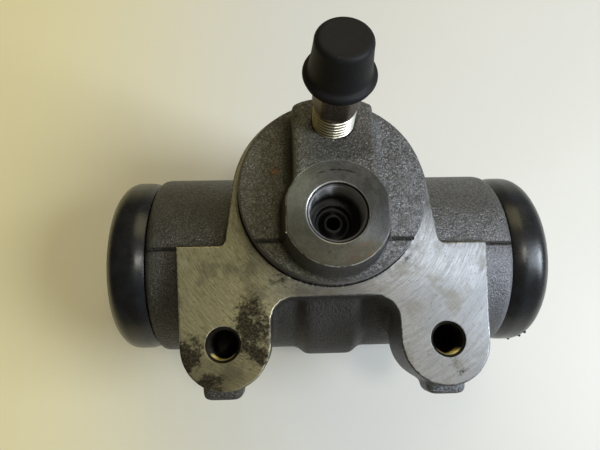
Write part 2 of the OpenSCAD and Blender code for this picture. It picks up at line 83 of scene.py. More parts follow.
class Nodes:
    """Builds one node tree with short calls. A value is a number, a colour, a vector or an output socket."""

    def __init__(self, tree):
        self.tree = tree

    def add(self, kind, inputs=None, **settings):
        node = self.tree.nodes.new(kind)
        for name, value in settings.items():
            setattr(node, name, value)
        for name, value in (inputs or {}).items():
            self.put(node.inputs[name], value)
        return node

    def put(self, socket, value):
        if isinstance(value, bpy.types.NodeSocket):
            self.tree.links.new(value, socket)
        else:
            socket.default_value = value

    def math(self, operation, first, second=0.0, third=0.0):
        node = self.add("ShaderNodeMath", operation=operation)
        for socket, value in zip(node.inputs, (first, second, third)):
            self.put(socket, value)
        return node.outputs[0]

    def times(self, *values):
        result = values[0]
        for value in values[1:]:
            result = self.math("MULTIPLY", result, value)
        return result

    def highest(self, *values):
        result = values[0]
        for value in values[1:]:
            result = self.math("MAXIMUM", result, value)
        return result

    def step(self, value, start, end):
        """0 before start, 1 after end and smooth between them; start may be the larger one."""
        rising = start < end
        node = self.add("ShaderNodeMapRange", interpolation_type="SMOOTHSTEP", clamp=True)
        self.put(node.inputs["Value"], value)
        self.put(node.inputs["From Min"], min(start, end))
        self.put(node.inputs["From Max"], max(start, end))
        self.put(node.inputs["To Min"], 0.0 if rising else 1.0)
        self.put(node.inputs["To Max"], 1.0 if rising else 0.0)
        return node.outputs["Result"]

    def near(self, value, middle, half, soft):
        """1 where value lies within half of middle, fading out over soft."""
        away = self.math("ABSOLUTE", self.math("SUBTRACT", value, middle))
        return self.step(away, half + soft, half)

    def noise(self, where, scale, detail=2.0, roughness=0.5, dimensions="3D"):
        node = self.add("ShaderNodeTexNoise", noise_dimensions=dimensions)
        self.put(node.inputs["W" if dimensions == "1D" else "Vector"], where)
        self.put(node.inputs["Scale"], scale)
        self.put(node.inputs["Detail"], detail)
        self.put(node.inputs["Roughness"], roughness)
        return node.outputs["Fac"]

    def mix(self, factor, first, second):
        node = self.add("ShaderNodeMix", data_type="RGBA")
        self.put(node.inputs["Factor"], factor)
        for name, value in (("A", first), ("B", second)):
            socket = [entry for entry in node.inputs if entry.name == name and entry.type == "RGBA"][0]
            self.put(socket, value)
        return [entry for entry in node.outputs if entry.type == "RGBA"][0]

    def coats(self, color, *coats):
        """Lays coats over a colour, in order. A coat is its mask, its strength and its colour."""
        for mask, strength, coat in coats:
            color = self.mix(self.times(mask, strength), color, coat)
        return color

    def blend(self, factor, first, second):
        node = self.add("ShaderNodeMix", data_type="FLOAT")
        self.put(node.inputs["Factor"], factor)
        self.put(node.inputs["A"], first)
        self.put(node.inputs["B"], second)
        return node.outputs["Result"]

    def bump(self, height, distance, strength=1.0, normal=None):
        node = self.add("ShaderNodeBump")
        self.put(node.inputs["Height"], height)
        self.put(node.inputs["Distance"], distance)
        self.put(node.inputs["Strength"], strength)
        if normal is not None:
            self.put(node.inputs["Normal"], normal)
        return node.outputs["Normal"]

    def place(self):
        """Position in the row frame in millimetres: the vector and its three parts."""
        coordinates = self.add("ShaderNodeTexCoord")
        scaled = self.add("ShaderNodeVectorMath", operation="SCALE")
        self.put(scaled.inputs[0], coordinates.outputs["Object"])
        self.put(scaled.inputs["Scale"], 1 / MM)
        parts = self.add("ShaderNodeSeparateXYZ")
        self.put(parts.inputs[0], scaled.outputs[0])
        return scaled.outputs[0], parts.outputs[0], parts.outputs[1], parts.outputs[2]

    def radius(self, first, second, centre=(0.0, 0.0)):
        """Distance from a line that runs through centre, square to the two coordinates."""
        offsets = [self.math("SUBTRACT", value, middle) for value, middle in zip((first, second), centre)]
        squares = [self.times(offset, offset) for offset in offsets]
        return self.math("SQRT", self.math("ADD", *squares))


def rgb(red, green, blue):
    return (red, green, blue, 1.0)


def new_material(name):
    material = bpy.data.materials.new(name)
    material.use_nodes = True
    shader = material.node_tree.nodes["Principled BSDF"]
    return material, shader, Nodes(material.node_tree)


def mesh_object(name, points, faces, material, body=None, smooth_angle=35):
    """Makes a shaded mesh from points in millimetres. Points that coincide merge."""
    same_point = 1e-7
    data = bpy.data.meshes.new(name)
    data.from_pydata([tuple(float(part) * MM for part in point) for point in points], [], faces)
    work = bmesh.new()
    work.from_mesh(data)
    bmesh.ops.remove_doubles(work, verts=work.verts, dist=same_point)
    bmesh.ops.recalc_face_normals(work, faces=work.faces)
    work.to_mesh(data)
    work.free()
    return place_mesh(name, data, material, body, smooth_angle)


def place_mesh(name, data, material, body=None, smooth_angle=35):
    """Puts a mesh into the scene, smooth apart from edges sharper than the angle in degrees."""
    for face in data.polygons:
        face.use_smooth = True
    data.set_sharp_from_angle(angle=math.radians(smooth_angle))
    thing = bpy.data.objects.new(name, data)
    bpy.context.scene.collection.objects.link(thing)
    data.materials.append(material)
    if body:
        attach(thing, body)
    return thing


def arc(centre, radius, start, end, steps):
    """Points of an arc, angles in degrees."""
    angles = np.radians(np.linspace(start, end, steps + 1))
    return [(centre[0] + radius * math.cos(a), centre[1] + radius * math.sin(a)) for a in angles]


def barrel_point(side):
    """Places (radius, angle, distance along the barrel) for the right end, or mirrored for the left."""
    def place(radius, angle, along):
        return (side * along, AXIS_Y + radius * math.sin(angle), AXIS_Z + radius * math.cos(angle))
    return place


def bleeder_point(radius, angle, along):
    """Places (radius, angle, height above the pad) about the bleed screw's axis."""
    across = np.array([0.0, math.cos(BLEEDER_TILT), -math.sin(BLEEDER_TILT)])
    sideways = np.array([1.0, 0.0, 0.0])
    spot = BLEEDER_AT + BLEEDER_AXIS * along
    return tuple(spot + radius * (math.cos(angle) * sideways + math.sin(angle) * across))


def upright_point(x, y):
    """Places (radius, angle, height) about a vertical line."""
    def place(radius, angle, along):
        return (x + radius * math.cos(angle), y + radius * math.sin(angle), along)
    return place


def ring_faces(rows, columns, closed):
    """Quads between rings of points. Closed joins the last ring to the first; open caps both end rings."""
    faces = []
    for row in range(rows if closed else rows - 1):
        for column in range(columns):
            beside = (column + 1) % columns
            above = (row + 1) % rows
            faces.append((row * columns + column, row * columns + beside,
                          above * columns + beside, above * columns + column))
    if not closed:
        faces.append(tuple(range(columns)))
        faces.append(tuple(range((rows - 1) * columns, rows * columns)))
    return faces


def lathe(profile, columns, place):
    """Points and faces of a turned piece with a closed section."""
    points = [place(radius, TURN * column / columns, along)
              for radius, along in profile for column in range(columns)]
    return points, ring_faces(len(profile), columns, True)


class BodyPlaces:
    """Coordinates, shared noise and finish masks of the body, for the parts of its material."""

    def __init__(self, n):
        self.where, self.x, self.y, self.z = n.place()
        self.beside = n.math("ABSOLUTE", self.x)
        normal = n.add("ShaderNodeNewGeometry").outputs["Normal"]
        self.up = n.add("ShaderNodeSeparateXYZ", {0: normal}).outputs[2]
        self.spigot_r = n.radius(self.x, self.y)
        self.port_r = n.radius(self.x, self.y, (0.0, PORT_Y))
        self.hole_r = n.radius(self.beside, self.y, (HOLE_X, HOLE_Y))
        self.grain = n.noise(self.where, 1.7, 3.0, 0.7)
        self.coarse = n.noise(self.where, 0.55, 3.0, 0.6)
        self.find_finishes(n)
        self.find_rings(n)

    def find_finishes(self, n):
        """Masks of the flange, the spot face and the walls of the holes and the spigot."""
        faces_up = n.step(self.up, 0.75, 0.92)
        past_relief = n.step(self.spigot_r, RELIEF_R - 0.15, RELIEF_R + 0.05)
        flange = n.times(n.near(self.z, 0.0, 0.25, 0.15), faces_up, past_relief)
        in_spot = n.step(self.port_r, PORT_FACE_R + 0.1, PORT_FACE_R - 0.1)
        self.spot = n.times(n.near(self.z, PORT_TOP, 0.2, 0.12), faces_up, in_spot)
        in_port = n.step(self.port_r, PORT_MOUTH_R + 0.15, PORT_MOUTH_R)
        port_wall = n.times(in_port, n.step(self.z, 0.5, 1.0))
        self.hole_wall = n.step(self.hole_r, HOLE_MOUTH_R + 0.15, HOLE_MOUTH_R)
        below_top = n.step(self.z, SPIGOT_HEIGHT - 0.1, SPIGOT_HEIGHT - 0.4)
        side_height = n.times(below_top, n.step(self.z, -0.8, -0.6))
        self.spigot_wall = n.times(n.near(self.spigot_r, SPIGOT_R + 0.2, 0.45, 0.15), side_height)
        in_hole = n.highest(port_wall, self.hole_wall)
        self.turned = n.times(n.highest(flange, self.spot), n.math("SUBTRACT", 1.0, in_hole))
        self.bared = n.highest(self.turned, in_hole, self.spigot_wall)

    def find_rings(self, n):
        """Fine and wide turning marks about the spigot, or about the port on its spot face."""
        self.from_y = n.math("SUBTRACT", self.y, n.times(self.spot, PORT_Y))
        radius = n.radius(self.x, self.from_y)
        angle = n.math("ARCTAN2", self.from_y, self.x)
        self.fine_ring = ring_noise(n, n.times(radius, 3.4), n.times(angle, 9.0), 4.0, 0.7)
        self.wide_ring = ring_noise(n, n.times(radius, 0.9), n.times(angle, 2.4), 3.0, 0.6)


def ring_noise(n, across, along, detail, roughness):
    """Noise over a place given across and along the rings."""
    spot = n.add("ShaderNodeCombineXYZ", {0: across, 1: along})
    return n.noise(spot.outputs[0], 1.0, detail, roughness)


def cast_iron():
    """Iron of the body: cast skin, turned faces, spot face and hole walls, each found by its place."""
    sand_height = 0.36 * MM
    ring_height = 0.05 * MM
    bare_metal = 0.9
    material, shader, n = new_material("cast_iron")
    at = BodyPlaces(n)
    skin, crystal, speck = cast_skin(n, at)
    smear = smudges(n, at)
    iron = spot_face(n, at, turned_iron(n, at, smear))
    color = n.mix(at.bared, skin, hole_walls(n, at))
    color = n.mix(at.turned, color, iron)
    n.put(shader.inputs["Base Color"], edge_marks(n, at, color))

    skin_metal = n.blend(n.highest(crystal, speck), 0.60, 0.85)
    n.put(shader.inputs["Metallic"], n.blend(at.bared, skin_metal, bare_metal))
    skin_rough = n.blend(crystal, 0.50, 0.33)
    wall_rough = n.blend(n.step(at.z, 11.0, 7.0), 0.38, 0.62)
    ring_rough = n.blend(at.fine_ring, 0.48, 0.34)
    iron_rough = n.blend(n.highest(smear, at.spot), ring_rough, 0.58)
    rough = n.blend(at.turned, n.blend(at.bared, skin_rough, wall_rough), iron_rough)
    n.put(shader.inputs["Roughness"], rough)

    sand = n.math("MULTIPLY_ADD", at.coarse, 0.7, at.grain)
    sand_bump = n.bump(sand, sand_height, n.blend(at.bared, 1.0, 0.0))
    rings = n.math("MULTIPLY_ADD", at.wide_ring, 0.5, at.fine_ring)
    n.put(shader.inputs["Normal"], n.bump(rings, ring_height, n.times(at.turned, 0.8), sand_bump))
    shader.inputs["Anisotropic"].default_value = 0.7
    outwards = n.add("ShaderNodeCombineXYZ", {0: at.x, 1: at.from_y})
    across_rings = n.add("ShaderNodeVectorMath", {0: outwards.outputs[0]}, operation="NORMALIZE")
    n.put(shader.inputs["Tangent"], across_rings.outputs[0])
    return material


def cast_skin(n, at):
    """Colour of the cast skin, with painted light and shade by side, and the masks of its bright crystals and
    specks.
    """
    rust_at = (-14.2, 4.4, 5.0)
    # Painted shade: steep walls and the web between the lugs get a darker coat and fewer bright crystals
    steep = n.step(at.up, 0.8, 0.1)
    between_lugs = n.step(at.beside, 22.0, 15.0)
    web = n.times(between_lugs, n.step(at.y, -24.5, -26.5), n.step(at.z, -0.3, -1.5))
    open_sand = n.times(n.blend(steep, 1.0, 0.5), n.blend(web, 1.0, 0.25))
    crystal = n.times(n.step(n.noise(at.where, 2.5, 2.0, 0.65), 0.46, 0.62), open_sand)
    speck = n.times(n.step(n.noise(at.where, 3.3, 1.0, 0.5), 0.62, 0.74), open_sand)
    pit = n.step(n.noise(at.where, 1.7, 2.0, 0.6), 0.47, 0.33)
    hollow = n.step(at.coarse, 0.62, 0.35)
    # Painted light: the olive coats on the left and on the spigot's left stand in for warm lamp light
    painted_warm_side = n.step(at.x, 12.0, -36.0)
    painted_warm_spigot = n.times(n.step(at.x, -1.0, -10.0), n.step(at.z, 2.0, 4.0))
    # Painted light: the skin is lighter and cooler toward the right, where the window's light falls
    painted_window_light = n.step(at.x, 6.0, 26.0)
    # Painted reflection: a light bluish patch on the barrel's lower right, past the right lug, stands for the
    # window's sheen
    painted_window_sheen = n.times(n.step(at.x, 28.0, 38.0), n.step(at.y, -13.5, -18.0))
    # Painted light: bright crystals and specks are dimmed on the low left and tinted warm on the left, cool
    # on the right
    lit_side = n.blend(n.times(painted_warm_side, n.step(at.z, 4.0, 1.0)), 1.0, 0.45)
    bright = n.mix(n.step(at.x, -2.0, 16.0), rgb(0.25, 0.243, 0.20), rgb(0.28, 0.285, 0.30))
    # Painted shade: a dark band along the mould's parting line, beside its flash ridges
    parting = n.near(at.y, AXIS_Y, 0.45, 0.35)
    from_rust = n.add("ShaderNodeVectorMath", {0: at.where, 1: rust_at}, operation="DISTANCE")
    rust = n.times(n.step(from_rust.outputs["Value"], 1.5, 0.2), n.step(at.grain, 0.40, 0.55))

    mottle = n.step(n.noise(at.where, 0.09, 3.0, 0.55), 0.32, 0.68)
    skin = n.coats(
        n.mix(mottle, rgb(0.060, 0.056, 0.047), rgb(0.100, 0.096, 0.089)),
        (painted_warm_side, 0.60, rgb(0.062, 0.056, 0.036)),
        (painted_warm_spigot, 0.70, rgb(0.120, 0.112, 0.062)),
        (painted_window_light, 0.65, rgb(0.165, 0.169, 0.180)),
        (hollow, 0.35, rgb(0.042, 0.038, 0.033)),
        (n.times(crystal, lit_side), 0.55, bright),
        (n.times(speck, lit_side), 0.65, rgb(0.50, 0.495, 0.49)),
        (pit, 0.50, rgb(0.024, 0.022, 0.019)),
        # painted shade on steep walls and on the web
        (n.highest(steep, web), 0.58, rgb(0.030, 0.027, 0.026)),
        (painted_window_sheen, 0.50, rgb(0.25, 0.256, 0.28)),
        (parting, 0.75, rgb(0.020, 0.018, 0.016)),
        (rust, 0.85, rgb(0.30, 0.115, 0.022)),
    )
    return skin, crystal, speck


def smudges(n, at):
    """Dark handling marks on the two lugs: the place, reach and strength of each, with ragged outlines."""
    marks = (
        (-20.4, -33.2, 7.5, 1.00),
        (-20.3, -27.2, 4.5, 0.80),
        (-18.5, -38.5, 4.8, 0.95),
        (-35.2, -39.0, 5.5, 1.00),
        (-29.5, -45.7, 4.5, 0.85),
        (-12.0, -21.0, 5.5, 0.40),
        (17.5, -17.0, 4.5, 0.35),
        (29.0, -44.0, 3.5, 0.40),
    )
    overreach = 1.45
    wavy = n.noise(at.where, 0.30, 5.0, 0.70)
    fine = n.noise(at.where, 1.5, 4.0, 0.6)
    closeness = []
    for x, y, reach, strength in marks:
        away = n.radius(at.x, at.y, (x, y))
        closeness.append(n.times(n.step(away, reach * overreach, 0.0), strength))
    total = n.highest(*closeness)
    spread = n.math("MULTIPLY_ADD", n.math("SUBTRACT", wavy, 0.53), 2.4, total)
    mark = n.step(n.math("MULTIPLY_ADD", spread, 1.2, fine), 0.78, 1.42)
    return n.times(mark, n.step(total, 0.02, 0.25))


def turned_iron(n, at, smear):
    """Colour of the turned flange: rings, painted warm light on the left, painted shade on the lower right
    and under the spigot, oily parts and the handling marks.
    """
    dull_ring = n.step(at.wide_ring, 0.56, 0.36)
    # Painted light: an olive coat on the left of the flange stands in for warm lamp light
    painted_warm_side = n.step(at.x, 6.0, -24.0)
    olive = n.mix(n.step(at.fine_ring, 0.30, 0.70), rgb(0.34, 0.305, 0.145), rgb(0.66, 0.605, 0.325))
    # Painted shade: the flange is darkened toward its lower right
    painted_shade_right = n.times(n.step(at.x, 2.0, 14.0), n.step(at.y, -10.0, -29.0))
    # Painted shadow: the flange strip below the spigot and the port boss is darkened
    painted_spigot_shadow = n.times(n.step(at.beside, 17.0, 4.0), n.step(at.y, -20.0, -24.0))
    patch = n.step(n.noise(at.where, 0.13, 4.0, 0.6), 0.50, 0.66)
    freckle = n.step(n.noise(at.where, 1.3, 3.0, 0.7), 0.56, 0.68)
    low_edge = n.times(n.step(at.y, -30.0, -47.0), n.step(at.x, 10.0, -20.0))
    gritty = n.blend(n.step(at.grain, 0.40, 0.62), 1.0, 0.82)
    return n.coats(
        n.mix(n.step(at.fine_ring, 0.28, 0.73), rgb(0.23, 0.232, 0.235), rgb(0.44, 0.445, 0.45)),
        (dull_ring, 0.45, rgb(0.17, 0.17, 0.17)),
        (painted_warm_side, 0.78, olive),
        (painted_shade_right, 0.72, rgb(0.110, 0.112, 0.117)),
        (painted_spigot_shadow, 0.78, rgb(0.075, 0.072, 0.066)),
        (patch, 0.55, rgb(0.11, 0.100, 0.075)),
        (freckle, 0.55, rgb(0.09, 0.082, 0.065)),
        (low_edge, 0.60, rgb(0.11, 0.095, 0.058)),
        (smear, gritty, rgb(0.030, 0.024, 0.016)),
    )


def spot_face(n, at, iron):
    """Lays the port's spot face over the turned iron: blotches, a stain, scuffs and part of a ring."""
    stain_r = n.radius(at.x, at.y, (5.0, -17.6))
    scuff_r = n.radius(at.x, at.y, (-1.0, -18.0))
    blotch = n.step(n.noise(at.where, 0.35, 4.0, 0.65), 0.36, 0.66)
    olive_part = n.highest(n.step(at.x, 3.0, -8.0), n.step(at.y, -13.0, -18.0))
    dark_side = n.near(at.x, 10.3, 0.6, 0.9)
    dull = n.coats(
        n.mix(blotch, rgb(0.046, 0.045, 0.038), rgb(0.096, 0.096, 0.090)),
        (olive_part, 0.60, rgb(0.072, 0.067, 0.036)),
        (dark_side, 0.55, rgb(0.034, 0.034, 0.034)),
    )
    stain = n.times(at.spot, n.step(stain_r, 4.5, 1.0), n.step(at.coarse, 0.42, 0.6))
    scuff = n.times(at.spot, n.step(scuff_r, 3.6, 1.0), n.step(at.grain, 0.55, 0.64))
    top_arc = n.times(n.step(at.y, 0.0, 0.6), n.step(at.coarse, 0.40, 0.48))
    ring_mark = n.times(at.spot, n.near(at.port_r, 9.9, 0.10, 0.12), top_arc)
    return n.coats(
        iron,
        (at.spot, 0.85, dull),
        (stain, 0.60, rgb(0.120, 0.070, 0.036)),
        (scuff, 0.70, rgb(0.020, 0.018, 0.013)),
        (ring_mark, 0.85, rgb(0.014, 0.013, 0.012)),
    )


def hole_walls(n, at):
    """Colour of the threads, the hole mouths and the spigot's side, with painted shade in thread roots, deep
    in the holes and in the relief groove, and a painted glint in the mount holes.
    """
    # Partly painted shade, partly oil: the port's thread roots are dark between bright crests, and the thread
    # is darker further down
    port_crest = n.highest(n.step(at.port_r, 6.72, 6.42), n.step(at.port_r, 6.9, 7.0))
    thread = n.mix(port_crest, rgb(0.022, 0.021, 0.020), rgb(0.36, 0.355, 0.34))
    thread = n.mix(n.step(at.z, 10.5, 5.0), thread, rgb(0.062, 0.061, 0.060))
    # Painted highlight: a bright yellow glint on the lower wall near each mount hole's mouth
    painted_hole_glint = n.times(n.step(at.y, -38.6, -39.6), n.step(at.hole_r, 3.78, 3.55), n.step(at.z, -5.0, -3.0))
    hole = n.mix(painted_hole_glint, rgb(0.030, 0.026, 0.019), rgb(0.95, 0.80, 0.30))
    # Painted shade: the mount holes turn nearly black further down
    hole = n.mix(n.step(at.z, -4.0, -8.0), hole, rgb(0.016, 0.015, 0.012))
    # Painted shade: the relief groove at the spigot's foot is near black, the spigot's side lighter
    inside_relief = n.step(at.spigot_r, SPIGOT_R + 0.18, SPIGOT_R + 0.06)
    side = n.mix(inside_relief, rgb(0.020, 0.019, 0.018), rgb(0.17, 0.16, 0.15))
    return n.mix(at.spigot_wall, n.mix(at.hole_wall, thread, hole), side)


def edge_marks(n, at, color):
    """Lays nicks, partly a painted edge highlight, on the spot face's edge and a bright burr, partly a
    painted edge glint, along the outer lug edges over a colour.
    """
    lug_edge_at = 39.83
    lug_edge_slope = 0.0713
    round_rim = n.step(at.port_r, PORT_FACE_R - 0.2, PORT_FACE_R - 0.08)
    flat_rim = n.step(at.beside, PORT_HALF - 0.22, PORT_HALF - 0.1)
    at_top = n.times(n.step(at.z, 14.45, 14.6), n.step(at.port_r, 13.0, 12.7), n.step(at.up, 0.2, 0.4))
    low_left = n.step(n.math("ADD", at.x, at.y), -4.0, -14.0)
    # Partly painted highlight: the bright nicks on the lower-left rim of the spot face are wear and an edge
    # highlight
    nicks = n.times(n.highest(round_rim, flat_rim), at_top, low_left, n.step(at.coarse, 0.40, 0.52))
    beyond = n.math("SUBTRACT", at.beside, n.math("MULTIPLY_ADD", at.y, lug_edge_slope, lug_edge_at))
    lug_edge = n.times(n.step(beyond, -0.32, -0.16), n.step(at.y, -13.4, -14.2), n.step(at.y, -37.0, -36.0))
    # Partly painted highlight: the bright line along the outer lug edges is a burr and an edge glint
    burr_and_glint = n.times(lug_edge, n.step(at.z, -0.32, -0.12), n.step(at.grain, 0.40, 0.52))
    return n.coats(
        color,
        (nicks, 0.85, rgb(0.46, 0.44, 0.38)),
        (burr_and_glint, 0.80, rgb(0.62, 0.61, 0.57)),
    )


def rubber(name, roughness, tint, dust, shine=0.5):
    """Black rubber with a faint moulded grain, dull patches and a little dust."""
    grain_height = 0.03 * MM
    material, shader, n = new_material(name)
    where = n.place()[0]
    patch = n.noise(where, 0.22, 3.0, 0.6)
    pore = n.noise(where, 3.2, 2.0, 0.6)
    dusty = n.step(n.noise(where, 5.0, 1.0), 0.68, 0.8)
    color = n.mix(n.step(patch, 0.35, 0.7), rgb(*tint), rgb(*[part * 1.7 for part in tint]))
    n.put(shader.inputs["Base Color"], n.coats(color, (dusty, dust, rgb(0.16, 0.15, 0.135))))
    n.put(shader.inputs["Roughness"], n.blend(n.step(patch, 0.3, 0.7), roughness, roughness + 0.06))
    grain = n.math("MULTIPLY_ADD", patch, 2.0, pore)
    n.put(shader.inputs["Normal"], n.bump(grain, grain_height, 0.7))
    shader.inputs["Specular IOR Level"].default_value = shine
    return material


def turned_metal(name, dark, light, roughness, line_scale):
    """Turned metal with fine rings about the barrel's axis."""
    ring_height = 0.03 * MM
    material, shader, n = new_material(name)
    where, x, y, z = n.place()
    along = n.math("ABSOLUTE", x)
    ring_r = n.radius(y, z, (AXIS_Y, AXIS_Z))
    ring = n.noise(n.math("ADD", along, ring_r), line_scale, 2.0, 0.6, "1D")
    patch = n.noise(where, 0.4, 3.0, 0.6)
    dull = n.step(patch, 0.5, 0.75)
    color = n.mix(ring, rgb(*dark), rgb(*light))
    n.put(shader.inputs["Base Color"], n.coats(color, (dull, 0.35, rgb(*[part * 0.6 for part in dark]))))
    shader.inputs["Metallic"].default_value = 1.0
    n.put(shader.inputs["Roughness"], n.blend(patch, roughness, roughness + 0.15))
    n.put(shader.inputs["Normal"], n.bump(ring, ring_height, 0.5))
    return material


def plated_steel():
    """Zinc plating: bright and slightly yellow thread, with a painted yellow reflection on its left side and
    dark roots that are partly painted shade, dull brown hexagon.
    """
    grain_height = 0.03 * MM
    material, shader, n = new_material("plated_steel")
    where, x = n.place()[:2]
    local = n.add("ShaderNodeVectorMath", {0: where, 1: tuple(BLEEDER_AT)}, operation="SUBTRACT").outputs[0]
    dot = n.add("ShaderNodeVectorMath", {0: local, 1: tuple(BLEEDER_AXIS)}, operation="DOT_PRODUCT")
    along = dot.outputs["Value"]
    away = n.add("ShaderNodeVectorMath", {0: local}, operation="LENGTH").outputs["Value"]
    from_axis = n.math("SQRT", n.math("SUBTRACT", n.times(away, away), n.times(along, along)))
    hexagon = n.times(n.step(along, HEX_LOW - 0.2, HEX_LOW + 0.1), n.step(along, HEX_HIGH + 0.3, HEX_HIGH))
    # Partly painted shade, partly oil: the thread's roots are darkened
    root = n.times(n.step(from_axis, 4.86, 4.62), n.step(along, HEX_LOW, HEX_LOW - 0.2))
    patch = n.noise(where, 0.5, 3.0, 0.6)
    fine = n.noise(where, 3.0, 3.0, 0.6)
    zinc = n.coats(
        n.mix(patch, rgb(0.60, 0.57, 0.46), rgb(0.76, 0.74, 0.67)),
        # Painted reflection: the thread's left side is tinted yellow as it mirrors the warm lamp
        (n.step(x, 1.0, -4.5), 1.0, rgb(0.72, 0.61, 0.33)),
        (root, 0.95, rgb(0.022, 0.018, 0.012)),
    )
    brown = n.mix(n.step(fine, 0.35, 0.7), rgb(0.10, 0.078, 0.060), rgb(0.24, 0.20, 0.165))
    n.put(shader.inputs["Base Color"], n.mix(hexagon, zinc, brown))
    shader.inputs["Metallic"].default_value = 1.0
    n.put(shader.inputs["Roughness"], n.blend(hexagon, n.blend(patch, 0.30, 0.42), 0.42))
    n.put(shader.inputs["Normal"], n.bump(fine, grain_height, 0.5))
    return material


def smooth_amount(points):
    """How far each point of the body lies from a machined surface: 0 on it, 1 on the cast skin."""
    kept = 0.3
    ramp = 1.2
    far = 9.0
    x, y, z = points.T
    spigot_r = np.hypot(x, y)
    port_r = np.hypot(x, y - PORT_Y)
    hole_r = np.hypot(np.abs(x) - HOLE_X, y - HOLE_Y)
    bore_r = np.hypot(y - AXIS_Y, z - AXIS_Z)
    local = points - BLEEDER_AT
    along = local @ BLEEDER_AXIS
    bleeder_r = np.linalg.norm(local - np.outer(along, BLEEDER_AXIS), axis=1)
    distances = [
        np.where(spigot_r > SPIGOT_R - 0.3, np.abs(z), far),
        np.where((z > -0.8) & (z < SPIGOT_HEIGHT + 0.1), np.abs(spigot_r - SPIGOT_R), far),
        np.where(port_r < PORT_FACE_R + 0.4, np.abs(z - PORT_TOP), far),
        np.where((port_r < PORT_MOUTH_R + 0.45) & (z > 0), 0, far),
        np.where(hole_r < HOLE_MOUTH_R + 0.7, 0, far),
        np.where(bleeder_r < 5.6, 0, far),
        np.where(bore_r < BORE_R + 0.6, 0, far),
        np.where((np.abs(x) > BARREL_HALF - 0.2) & (bore_r < NECK_R + 1.2), 0, far),
    ]
    nearest = np.min(distances, axis=0)
    share = np.clip((nearest - kept) / ramp, 0, 1)
    return share * share * (3 - 2 * share)


def neighbour_mean(points, edges, counts):
    """Mean of the points that each point shares an edge with."""
    total = np.zeros_like(points)
    for axis in range(3):
        total[:, axis] += np.bincount(edges[:, 0], points[edges[:, 1], axis], len(points))
        total[:, axis] += np.bincount(edges[:, 1], points[edges[:, 0], axis], len(points))
    return total / counts[:, None]


def casting(material):
    """The body as a casting: its solid with soft cast edges, while machined edges stay crisp."""
    same_point = 2e-6
    voxel = 0.38 * MM
    voxel_turn = math.radians(31)
    cast_rounds = 26
    cast_pull = 0.6
    edge_pull = 0.4
    most_triangles = 190000
    work = bmesh.new()
    work.from_mesh(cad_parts["cylinder_body"].data)
    bmesh.ops.remove_doubles(work, verts=work.verts, dist=same_point)
    surface = BVHTree.FromBMesh(work)
    turned = Matrix.Rotation(voxel_turn, 4, "Z")
    work.transform(turned)
    solid = bpy.data.meshes.new("solid")
    work.to_mesh(solid)
    work.free()
    made = with_modifier(solid, "REMESH", mode="VOXEL", voxel_size=voxel)
    made.transform(turned.inverted())

    flat = np.zeros(len(made.vertices) * 3)
    made.vertices.foreach_get("co", flat)
    points = np.array([surface.find_nearest(point)[0] for point in flat.reshape(-1, 3)]) / MM
    pairs = np.zeros(len(made.edges) * 2, int)
    made.edges.foreach_get("vertices", pairs)
    edges = pairs.reshape(-1, 2)
    counts = np.bincount(pairs, minlength=len(points)).astype(float)
    amount = smooth_amount(points)[:, None] * cast_pull
    for _ in range(cast_rounds):
        points += amount * (neighbour_mean(points, edges, counts) - points)
    points += edge_pull * (neighbour_mean(points, edges, counts) - points)
    move_wall(points, 0.0, 0.0, SPIGOT_R, SPIGOT_R - 0.01, 0.25, SPIGOT_HEIGHT - 0.5)
    move_wall(points, 0.0, PORT_Y, PORT_R, 7.0, PORT_FLOOR + 0.4, PORT_TOP - 0.4)
    for side, _ in SIDES:
        move_wall(points, side * HOLE_X, HOLE_Y, HOLE_R, 4.0, -12.6, -0.3)
    made.vertices.foreach_set("co", (points * MM).ravel())

    share = most_triangles / (2 * len(made.polygons))
    data = with_modifier(made, "DECIMATE", ratio=share)
    data.name = "casting"
    thing = place_mesh("casting", data, material, "housing", 60)
    weighted = thing.modifiers.new("even_normals", "WEIGHTED_NORMAL")
    weighted.weight = 50
    weighted.keep_sharp = True
    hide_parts("cylinder_body")


def with_modifier(data, kind, **settings):
    """A new mesh: data with one modifier applied."""
    thing = bpy.data.objects.new("shaping", data)
    bpy.context.scene.collection.objects.link(thing)
    modifier = thing.modifiers.new("shape", kind)
    for name, value in settings.items():
        setattr(modifier, name, value)
    shaped = thing.evaluated_get(bpy.context.evaluated_depsgraph_get())
    made = bpy.data.meshes.new_from_object(shaped)
    bpy.data.objects.remove(thing)
    bpy.data.meshes.remove(data)
    return made


def move_wall(points, x, y, old_r, new_r, low, high):
    """Moves a round upright wall to a new radius: holes make room for a thread, the spigot gets true."""
    offset = points[:, :2] - (x, y)
    radius = np.hypot(*offset.T)
    at_height = (points[:, 2] > low) & (points[:, 2] < high)
    wall = (radius < old_r + 0.5) & (radius > old_r - 0.35) & at_height
    points[wall, :2] = (x, y) + offset[wall] * (new_r / radius[wall])[:, None]


def flank(turns, flat):
    """Profile of a thread at a place given in turns: 0 on one flat, 1 on the other, sloped between them."""
    slope_length = 0.7
    slope = abs(2 * (turns % 1.0) - 1)
    return min(1.0, max(0.0, (slope - flat) / slope_length))


